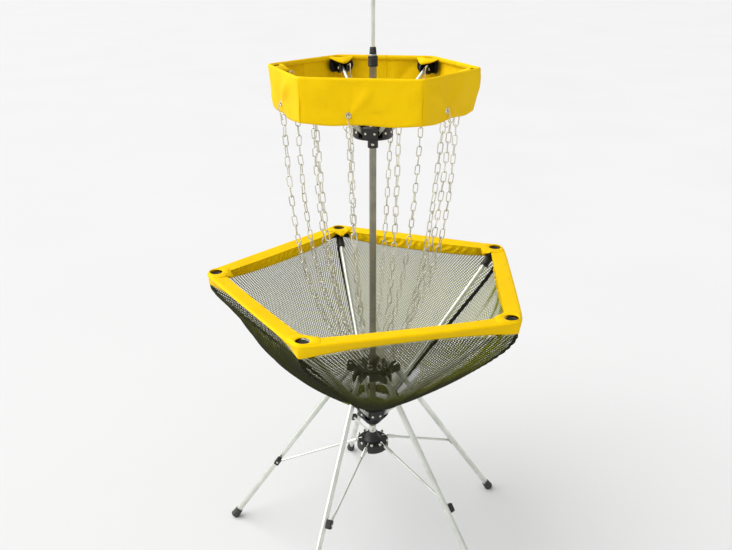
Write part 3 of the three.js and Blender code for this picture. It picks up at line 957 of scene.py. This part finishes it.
RIM_STRIP, RIM_SKIRT = 0.042, 0.034        # the width of its top, and the depth of its skirt
RIM_EDGE = 0.052                           # from a corner to where its strips start
RIM_SKIRT_ROWS = 14                        # rows of a column up to the top's outer edge
RIM_STAND, RIM_ROUND = 0.001, 0.005
RIM_TUCK, TUCK_POWER = 0.034, 2.5
RIM_GUSSET = dict(reach=RIM_EDGE + OVERLAP, outer=0.0055, inner=RIM_STRIP, depth=0.070, centre=RIM_CAP_AT,
                  hole=(RIM_CAP_R + 0.0002, RIM_CAP_R + 0.0002), top=rim_top - 0.0006, rise=0.0022,
                  droop=0.009, full=0.55)


def rim_tuck(u):
    """How far the rim's skirt is drawn in by the net, from 0 at a corner to 1 in the middle of a side."""
    return 1 - abs(2 * u / RIM.side) ** TUCK_POWER


def rim_seam(u):
    """How far in, and how far under the rim's top, the net's seam runs."""
    return 0.003 + RIM_TUCK * rim_tuck(u), RIM_SKIRT + 0.003 * rim_tuck(u)


def rim_fold(face, u, share):
    """Diagonal puckers in the rim's cloth."""
    slant = noise.noise(Vector((u * 34 - share * 1.8, share * 0.7, 9.1 * face + 2)))
    broad = noise.noise(Vector((u * 12, share, 4.7 * face)))
    return 0.0022 * slant + 0.0018 * broad


def rim_skirt(face, u, out):
    """Insets and heights from the net's seam up the rim's skirt and round its top edge."""
    bottom_inset, depth = rim_seam(u)
    rows = 9
    line = []
    for k in range(rows + 1):
        h = k / rows
        pucker = rim_fold(face, u, h) * math.sin(math.pi * h)
        line.append((RIM_STAND + bottom_inset * (1 - h) - pucker - out,
                     rim_top - depth + (depth - RIM_ROUND) * h))
    for k in range(1, 5):
        turn = math.radians(22.5 * k)
        line.append((RIM_STAND + RIM_ROUND * (1 - math.cos(turn)) - out,
                     rim_top - RIM_ROUND + RIM_ROUND * math.sin(turn) + out))
    return line


def rim_flap(face, u, out):
    """Insets and heights in along the rim's top, and down the puckered flap on its inner side."""
    bottom_inset, depth = rim_seam(u)
    drop = 0.001 + 0.004 * rim_tuck(u)
    line = []
    for k in range(1, 8):
        share = k / 7
        ripple = noise.noise(Vector((u * 26, share * 1.5, 3.9 * face))) * 0.0018 * math.sin(math.pi * share)
        line.append((RIM_STAND + RIM_ROUND + (RIM_STRIP - RIM_ROUND) * share,
                     rim_top - drop * share ** 1.3 + ripple + out))
    for k in range(1, 9):
        share = k / 8
        swell = math.sin(math.pi * share)
        waver = noise.noise(Vector((u * 17, share * 1.3, 6.3 * face)))
        pucker = 0.0030 * math.sin(2 * math.pi * (u / 0.026 - share * 0.9) + 7 * waver) * swell
        inset = RIM_STRIP + 0.0025 * swell + (bottom_inset + 0.003 - RIM_STRIP) * share
        line.append((inset + pucker, rim_top - drop - (depth - drop - 0.001) * share))
    return line


def rim_column(i, s, out=0.0):
    """One column of the rim's cloth at a distance s from corner i."""
    face = (i if s > 0 else i - 1) % RIB_COUNT
    u = s - math.copysign(RIM.side / 2, s)
    place, inward = RIM.plan(i, s, 1)
    line = rim_skirt(face, u, out) + rim_flap(face, u, out)
    return [level(place + inward * inset, height) for inset, height in line]


def make_rim():
    middle = RIM.side / 2
    for i, azimuth in enumerate(RIB_AZIMUTHS):
        body = f"basket_rib_{i + 1}"
        make_rim_corner(i, azimuth, body)
        for side in (-1, 1):
            columns = strip_columns(rim_column, i, side, RIM_EDGE, middle, 72)
            strip = cloth_strip("rim", columns, i, side, rim_yellow, body, azimuth, RIM_CLOTH)
            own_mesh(strip)


def make_rim_corner(i, azimuth, body):
    reach = RIM_EDGE + OVERLAP
    stops = np.linspace(-reach, reach, 45)
    columns = [rim_column(i, s, dip(s, -RIM_EDGE, RIM_EDGE))[:RIM_SKIRT_ROWS] for s in stops]
    corner, area = cloth_piece(f"rim_corner_{i + 1}", columns, rim_yellow, body, azimuth, RIM_CLOTH)
    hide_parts("basket_rim")
    make_gusset(f"rim_gusset_{i + 1}", RIM, i, RIM_GUSSET, rim_yellow, body, azimuth)


# ---- net -----------------------------------------------------------------------------------------
NET_HEAD, NET_FOOT = 0.444, 0.066
NET_LOW, NET_TOP = 0.446, rim_top - RIM_SKIRT + 0.002
NET_SLACKS = (0.012, 0.012, 0.034, 0.012, 0.012)
NET_BELLY = 0.050
NET_PITCH = 0.0056
NET_YARN, NET_YARN_HIGH = 0.0020, 0.0012
LEG_SIDE = -0.016
SLIT_HALF, SLIT_TOP = 0.0125, 0.515


def net_slack(f, azimuth):
    """How far the net hangs below the line of its rib, which differs from rib to rib."""
    first = RIB_AZIMUTHS.index(azimuth)
    share = (1 + f) / 2
    return NET_SLACKS[first] * (1 - share) + NET_SLACKS[(first + 1) % RIB_COUNT] * share


def net_surface(t, f, azimuth, offset=0.0):
    """Points on one panel of the net, from arrays: t runs up from its foot, and f across it from -1 at
    the rib at the given azimuth to 1 at the next rib."""
    away = RIB_HALF * (1 - np.abs(f))
    slant = 1 / np.cos(RIB_HALF - away)
    hang = np.sin(np.pi * np.clip(t, 0, 1))
    rib = NET_FOOT + (NET_HEAD - NET_FOOT) * t + net_slack(f, azimuth) * hang
    belly = NET_BELLY * hang ** 0.8 * np.sin(np.pi * away / (2 * RIB_HALF))
    tuck = 1 - np.abs(f) ** TUCK_POWER
    edge = (RIM.radius * math.cos(RIB_HALF) - 0.005 - RIM_TUCK * tuck) * slant - 0.010 * np.abs(f) ** 8
    share = np.clip(t, 0, 1) ** 6
    radius = (rib * math.cos(RIB_HALF) * slant + belly) * (1 - share) + edge * share
    radius = radius + pleats(t, f, azimuth) + offset
    angle = math.radians(azimuth) + RIB_HALF * (1 + f)
    height = NET_LOW + (NET_TOP - NET_LOW) * t - 0.75 * offset
    return np.stack([AXIS.x + radius * np.cos(angle), AXIS.y + radius * np.sin(angle), height], -1)


def pleats(t, f, azimuth):
    """Soft folds that run down the net, deeper in the panel that hangs slack."""
    slack = 1.0 if azimuth == RIB_AZIMUTHS[2] else 0.35
    phase = math.radians(azimuth) * 3
    wide = np.sin(9 * f + 2.5 * t + phase) * np.sin(np.pi * np.clip(t, 0, 1)) * 0.0035
    sharp = np.sin(21 * f - 5 * t + phase) * np.clip(t, 0, 1) ** 2 * (1 - t) * 0.016
    return slack * (wide + sharp) * (1 - np.abs(f) ** 6)


def net_rows(azimuth):
    """A panel's length down its slope, the step between its rows of knots, and each row's level and half
    width."""
    heights = np.linspace(0, 1, 60)
    line = net_surface(heights, np.zeros(60), azimuth)
    slant = np.concatenate([[0], np.cumsum(np.linalg.norm(np.diff(line, axis=0), axis=1))])
    step = NET_PITCH / math.sqrt(2)
    rows = int(slant[-1] / step)
    level_of = np.interp(np.arange(rows + 1) * step, slant, heights)
    slack = sum(NET_SLACKS) / RIB_COUNT * np.sin(np.pi * level_of)
    half_width = 1.02 * math.sin(RIB_HALF) * (NET_FOOT + (NET_HEAD - NET_FOOT) * level_of + slack)
    return slant[-1], step, level_of, half_width


def net_cells(azimuth, near_side, step, level_of, half_width):
    """The diamonds of half a panel, as the numbers of their four knots, and each knot's column and row."""
    widest = int(half_width.max() / step) + 2
    knots, cells = {}, []
    for b in range(1, len(level_of) - 1):
        for a in range(-widest, widest + 1):
            mine = a <= 0 if near_side > 0 else a > 0
            if (a + b) % 2 == 0 or not mine or abs(a) * step > half_width[b] - 0.3 * step:
                continue
            if in_slit(level_of[b], a * step / half_width[b], azimuth):
                continue
            corners = [(a, b - 1), (a + 1, b), (a, b + 1), (a - 1, b)]
            cells.append([knots.setdefault(c, len(knots)) for c in corners])
    return np.array(cells), np.array(list(knots))


def net_half(azimuth, near_side):
    """Half a net panel as a lattice of yarn: each yarn has a ridge on both faces, and the hole between
    four yarns is open. near_side is 1 for the half beside the rib at the azimuth, and -1 for the other."""
    slant, step, level_of, half_width = net_rows(azimuth)
    cells, grid = net_cells(azimuth, near_side, step, level_of, half_width)
    t = level_of[grid[:, 1]]
    f = np.clip(grid[:, 0] * step / half_width[grid[:, 1]], -1, 1)
    centre = net_surface(t, f, azimuth)
    outer = net_surface(t, f, azimuth, NET_YARN_HIGH / 2)
    inner = net_surface(t, f, azimuth, -NET_YARN_HIGH / 2)
    holes = centre[cells]
    middle = holes.mean(1, keepdims=True)
    holes = middle + (holes - middle) * (1 - NET_YARN / NET_PITCH)
    count, total = len(grid), len(cells)
    points = np.concatenate([outer, inner, holes.reshape(-1, 3)])
    hole = 2 * count + np.arange(4 * total).reshape(total, 4)
    faces = []
    for k in range(4):
        n = (k + 1) % 4
        faces.append(np.stack([cells[:, k], cells[:, n], hole[:, n], hole[:, k]], 1))
        faces.append(np.stack([count + cells[:, n], count + cells[:, k], hole[:, k], hole[:, n]], 1))
    # painted light share: 0 on the outer ridge (painted shade), 1 on the inner ridge (painted light), 0.4
    # round the holes
    facing = np.repeat([0.0, 1.0, 0.4], [count, count, 4 * total])
    lay = np.stack([points[:, 0], points[:, 2], facing], 1)
    return points, np.concatenate(faces), lay, slant, half_width, step


def in_slit(t, f, azimuth):
    """Whether a place on the net lies in the slot that a leg passes through."""
    p = net_surface(np.array([t]), np.array([f]), azimuth)[0]
    if p[2] > SLIT_TOP:
        return False
    for leg in LEG_AZIMUTHS:
        turn = math.radians(leg)
        x, y = p[0] - AXIS.x, p[1] - AXIS.y
        out = x * math.cos(turn) + y * math.sin(turn)
        side = -x * math.sin(turn) + y * math.cos(turn)
        if out > 0 and abs(side - LEG_SIDE) < SLIT_HALF:
            return True
    return False


def make_net():
    for i, azimuth in enumerate(RIB_AZIMUTHS):
        for near_side in (1, -1):
            rib = i if near_side > 0 else (i + 1) % RIB_COUNT
            body = f"basket_rib_{rib + 1}"
            points, faces, lay, slant, half_width, step = net_half(azimuth, near_side)
            name = f"net_{i + 1}_{'a' if near_side > 0 else 'b'}"
            piece = build(name, points, faces, netting, body, None, "net_cloth", lay=lay, crease=0)
            if near_side > 0:
                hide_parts(f"net_panel_{i + 1}")
            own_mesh(piece)
    make_net_tapes()


def seam_columns(azimuth, before):
    """A binding's columns over the seam on a rib, between its own panel and the one before."""
    levels = np.linspace(0.0, 0.985, 70)
    rib = NET_FOOT + (NET_HEAD - NET_FOOT) * levels + 0.02
    columns = []
    for across in (-0.0065, -0.003, 0.0, 0.003, 0.0065):
        turn = np.abs(across) / rib / RIB_HALF
        ripple = 0.0008 * np.sin(levels * 260 + across * 500)
        if across < 0:
            line = net_surface(levels, 1 - turn, before, -0.0012 + ripple)
        else:
            line = net_surface(levels, -1 + turn, azimuth, -0.0012 + ripple)
        columns.append([Vector(p) for p in line])
    return columns


def hem_columns(side, panel):
    """A binding's columns along the bottom edge of half a panel."""
    low, high = (-1.0, 0.0) if side > 0 else (0.0, 1.0)
    spread = np.linspace(low, high, 40)
    scallop = 0.006 * np.abs(np.sin(spread * 9.4))
    return [[Vector(p) for p in net_surface(t + scallop * (1 - t * 20), spread, panel, 0.0008)]
            for t in (-0.012, 0.0, 0.015, 0.032)]


def make_net_tapes():
    """The woven bindings over the seams between the panels, and along the net's bottom edge."""
    for i, azimuth in enumerate(RIB_AZIMUTHS):
        body = f"basket_rib_{i + 1}"
        before = RIB_AZIMUTHS[i - 1]
        add_tape(f"net_tape_{i + 1}", seam_columns(azimuth, before), body)
        for side, panel in ((1, azimuth), (-1, before)):
            name = f"net_hem_{i + 1}_{'b' if side > 0 else 'a'}"
            hem = add_tape(name, hem_columns(side, panel), body)
            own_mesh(hem)


def add_tape(name, columns, body):
    points, faces, lay = sheet_grid(columns)
    tape = build(name, points, faces, webbing, body, None, "net_cloth", lay=lay)
    thicken(tape, 0.0014, 0)
    bake_modifiers(tape)
    return tape


# ---- basket frame --------------------------------------------------------------------------------
def make_basket_frame():
    from_cad("basket_hub", "rib_hub", black, "pole", 0.0014)
    places = beside_arms(RIB_AZIMUTHS, 22, 0.0450, hinge("basket_fold_1", RIB_AZIMUTHS[0]).z)
    make_screws("rib_hub_screws", places, "pole", ON_AXIS, radius=0.0036)
    end_reach, end_height = 0.400, 0.790
    for i, azimuth in enumerate(RIB_AZIMUTHS):
        body = f"basket_rib_{i + 1}"
        start = hinge(f"basket_fold_{i + 1}", azimuth)
        end = Vector((end_reach, start.y, end_height))
        step = (end - start).normalized()
        rib_tube(f"rib_{i + 1}", start - step * 0.005, end, 0.0065, azimuth, body, body, 0.016)
        make_basket_socket(i, azimuth, body, end, step)


def make_basket_socket(i, azimuth, body, end, step):
    """A corner socket: a stepped sleeve on the rib's end, a neck, two short wings and a round cap."""
    profile = [(-0.020, 0.0105), (-0.0195, 0.0122), (-0.014, 0.0122), (-0.013, 0.0110), (-0.004, 0.0108),
               (0.008, 0.0114), (0.012, 0.0105)]
    top, radius = rim_top - 0.0035, RIM_CAP_R
    cap = [(0, top - 0.012), (radius - 0.002, top - 0.012), (radius, top - 0.010), (radius, top - 0.002),
           (radius - 0.002, top), (radius - 0.0045, top), (radius - 0.0055, top - 0.0012),
           (0.004, top - 0.0018), (0, top - 0.0018)]
    disc = turned(cap, 48, Vector((RIM_CAP_AT, 0, 0)))
    neck = swept([end + step * 0.002, Vector((RIM_CAP_AT - 0.004, 0, top - 0.010))], 0.0085, 24)
    parts = [sleeve_along(end, step, profile), disc, neck]
    for side in (-1, 1):
        start = Vector((RIM.radius - 0.042, side * 0.004, top - 0.017))
        taper = [(0, 0.0085), (0.016, 0.0075), (0.030, 0.0060)]
        parts.append(sleeve_along(start, along_face(RIB_HALF, side), taper, 16))
    socket = mould(f"basket_socket_{i + 1}", merged(parts), body, azimuth, 32)
    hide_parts(f"basket_corner_{i + 1}")


# ---- chains --------------------------------------------------------------------------------------
CHAIN_SAGS = (0.050, 0.060, 0.043, 0.066, 0.034, 0.037, 0.038, 0.062, 0.043, 0.036, 0.040, 0.053)
LINK_PITCH, LINK_WIDTH, LINK_WIRE = 0.0250, 0.0145, 0.0029
LINK_TIP = 0.07          # how far a link tips, in radians
RING_HOOK = Vector((0.044, 0, 0.569))
FACE_HOOK = Vector((0.2227, FACE_SIDE, 1.267))


def strand(hook, sag, steps=240):
    """A hanging chain's line from its hook to the ring, in an arm's frame."""
    line = []
    for i in range(steps + 1):
        t = i / steps
        belly = sag * 4 * t * (1 - t) * (0.6 + 0.8 * t)
        line.append(Vector((hook.x + (RING_HOOK.x - hook.x) * t + belly, hook.y * (1 - t),
                            hook.z + (RING_HOOK.z - hook.z) * t)))
    return line


def link_shape():
    """One long wire link, lying along X in the XY plane."""
    inner = (LINK_WIDTH - LINK_WIRE) / 2
    straight = (LINK_PITCH + LINK_WIRE) / 2 - inner
    path = []
    for centre, first in ((straight, -90), (-straight, 90)):
        for k in range(9):
            angle = math.radians(first + 22.5 * k)
            path.append((centre + inner * math.cos(angle), inner * math.sin(angle), 0))
    return swept(path, LINK_WIRE / 2, 8, loop=True)


def make_chain(index, hook, azimuth, dice):
    line = strand(hook, CHAIN_SAGS[index - 1])
    lengths = [0.0]
    for a, b in zip(line, line[1:]):
        lengths.append(lengths[-1] + (b - a).length)
    count = round(lengths[-1] / LINK_PITCH)
    pitch = lengths[-1] / count
    shape = link_shape()
    links = []
    roll = dice.uniform(0, math.pi)
    for k in range(count):
        here = (k + 0.5) * pitch
        j = min(int(np.searchsorted(lengths, here)), len(line) - 2)
        tangent = (line[j + 1] - line[j - 1]).normalized()
        up = tangent.cross(Vector((0, 1, 0))).normalized()
        turn = Matrix([tangent, up.cross(tangent), up]).transposed().to_4x4()
        roll += math.pi / 2 + dice.uniform(-0.22, 0.22)
        tip = Matrix.Rotation(dice.uniform(-LINK_TIP, LINK_TIP), 4, "Y")
        tip = tip @ Matrix.Rotation(dice.uniform(-LINK_TIP, LINK_TIP), 4, "Z")
        links.append(moved(shape, Matrix.Translation(line[j]) @ turn @ Matrix.Rotation(roll, 4, "X") @ tip))
    body = f"chain_{index}"
    chain = bend(f"link_chain_{index}", merged(links), body, azimuth, 0)
    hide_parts(body)


def make_chains():
    dice = random.Random(12)
    for i, azimuth in enumerate(TOP_AZIMUTHS):
        make_chain(2 * i + 1, CORNER_HOOK, azimuth, dice)
        make_chain(2 * i + 2, FACE_HOOK, azimuth + TOP_TURN / 2, dice)
        make_eyelet(2 * i + 2, i, azimuth + TOP_TURN / 2)
    from_cad("chain_ring", "chain_gathering_ring", black, "chain_ring", 0.0012)


def face_distance(face, side, height):
    """How far from the pole the outside of a band face stands, at a side step from its middle."""
    h = (height - band_low.z) / (band_high.z - band_low.z)
    place, inward = BAND.plan(face, BAND.side / 2 + side, h)
    place -= inward * band_fold(face, side, h)
    return (place * cmath.rect(1, -TOP_HALF)).real


def make_eyelet(index, face_number, azimuth):
    """The metal eyelet low on a face, and the wire hook that joins it to its chain."""
    height = band_low.z + 0.020
    centre = Vector((face_distance(face_number, FACE_SIDE, height) + 0.0002, FACE_SIDE, height))
    profile = [(0.0036, -0.0022), (0.0066, -0.0020), (0.0074, 0.0002), (0.0066, 0.0020), (0.0048, 0.0026),
               (0.0036, 0.0016)]
    eyelet = moved(turned(profile, 32), Matrix.Translation(centre) @ pointing((1, 0, 0)))
    bends = [(-0.007, 0, -0.008), (-0.006, 0, -0.002), (-0.001, 0, 0.0015), (0.004, 0, 0),
             (0.0065, 0, -0.006), (0.0072, 0.001, -0.016), (0.0055, 0.006, -0.023), (0.002, 0.009, -0.031),
             (-0.001, 0.004, -0.038), (-0.002, -0.004, -0.037), (-0.001, -0.010, -0.030),
             (0.001, -0.011, -0.024)]
    hook = bent_wire(centre, bends, 0.0012)
    bend(f"eyelet_{index}", merged([eyelet, hook]), f"chain_{index}", azimuth)


# ---- stand ---------------------------------------------------------------------------------------
LEG_FOOT = Vector((0.4269, LEG_SIDE, 0.011))
KNEE_HEIGHT = 0.221


def make_stand():
    from_cad("leg_hub", "leg_star", black, "leg_hub", 0.0014)
    from_cad("brace_hub", "brace_boss", black, "pole", 0.0016)
    places = beside_arms(LEG_AZIMUTHS, 20, 0.0449, hinge("brace_fold_1", LEG_AZIMUTHS[0]).z + 0.006)
    make_screws("brace_boss_rivets", places, "pole", ON_AXIS, radius=0.0040, height=0.002)
    for i, azimuth in enumerate(LEG_AZIMUTHS):
        make_leg(i, azimuth)
        make_brace(i, azimuth)


def knee_place(i, azimuth):
    """Where a leg's axis passes its knee."""
    start = hinge(f"leg_fold_{i + 1}", azimuth)
    return start.lerp(LEG_FOOT, (start.z - KNEE_HEIGHT) / (start.z - LEG_FOOT.z))


def make_leg(i, azimuth):
    body = f"leg_{i + 1}"
    start = hinge(f"leg_fold_{i + 1}", azimuth)
    step = (LEG_FOOT - start).normalized()
    end = LEG_FOOT - step * 0.006
    rib_tube(f"leg_tube_{i + 1}", start - step * 0.006, end, 0.008, azimuth, body, body, 0.015)
    knee = knee_place(i, azimuth)
    sideways = Vector((0, 1, 0))
    along_leg = Matrix([sideways.cross(step), sideways, step]).transposed().to_4x4()
    shape = block((-0.0075, -0.0085, -0.0130), (0.0075, 0.0065, 0.0110))
    shape = moved(shape, Matrix.Translation((knee.x, 0, knee.z)) @ along_leg)
    piece = mould(f"knee_block_{i + 1}", shape, body, azimuth, 32)
    soften(piece, 0.0032, 4)
    pins = [((knee.x, 0.0064, knee.z), (0, 1, 0)), ((knee.x, LEG_SIDE - 0.0078, knee.z), (0, -1, 0))]
    make_screws(f"knee_pins_{i + 1}", pins, body, arm(azimuth), radius=0.0032)
    make_foot(i, azimuth, body, step)


def make_foot(i, azimuth, body, step):
    """A rubber boot: a short cup with grip rings, flat where it stands on the ground."""
    profile = [(-0.0200, 0.0086), (-0.0195, 0.0108), (-0.0150, 0.0112), (-0.0142, 0.0106), (-0.0115, 0.0108),
               (-0.0105, 0.0117), (-0.0070, 0.0118), (-0.0060, 0.0112), (-0.0020, 0.0122), (0.0035, 0.0132),
               (0.0055, 0.0128), (0.0062, 0.0110), (0.0064, 0.0040)]
    points, faces, _ = sleeve_along(LEG_FOOT, step, profile)
    ground = 0.0003
    points = [Vector((p.x, p.y, max(p.z, ground))) for p in points]
    build(f"foot_{i + 1}", points, faces, rubber, body, arm(azimuth), "black_plastic")


def make_brace(i, azimuth):
    body = f"brace_{i + 1}"
    start = hinge(f"brace_fold_{i + 1}", azimuth)
    knee = knee_place(i, azimuth)
    end = Vector((knee.x, 0, knee.z))
    step = (end - start).normalized()
    past = step * 0.006
    rib_tube(f"brace_tube_{i + 1}", start - past, end + past, 0.0034, azimuth, body, body, 0.012)
    profile = [(0.010, 0.0036), (0.011, 0.0052), (0.040, 0.0052), (0.042, 0.0036)]
    sleeve = sleeve_along(start, step, profile, 20)
    build(f"brace_sleeve_{i + 1}", *sleeve[:2], alloy, body, arm(azimuth), "frame_tube", lay=sleeve[2])


# ---- the whole object ----------------------------------------------------------------------------
make_camera()
make_studio()
make_pole()
make_pole_button()
make_collar()
make_top_hub()
make_top_ribs()
make_top_brackets()
make_band()
make_chains()
make_basket_frame()
make_rim()
make_net()
make_stand()
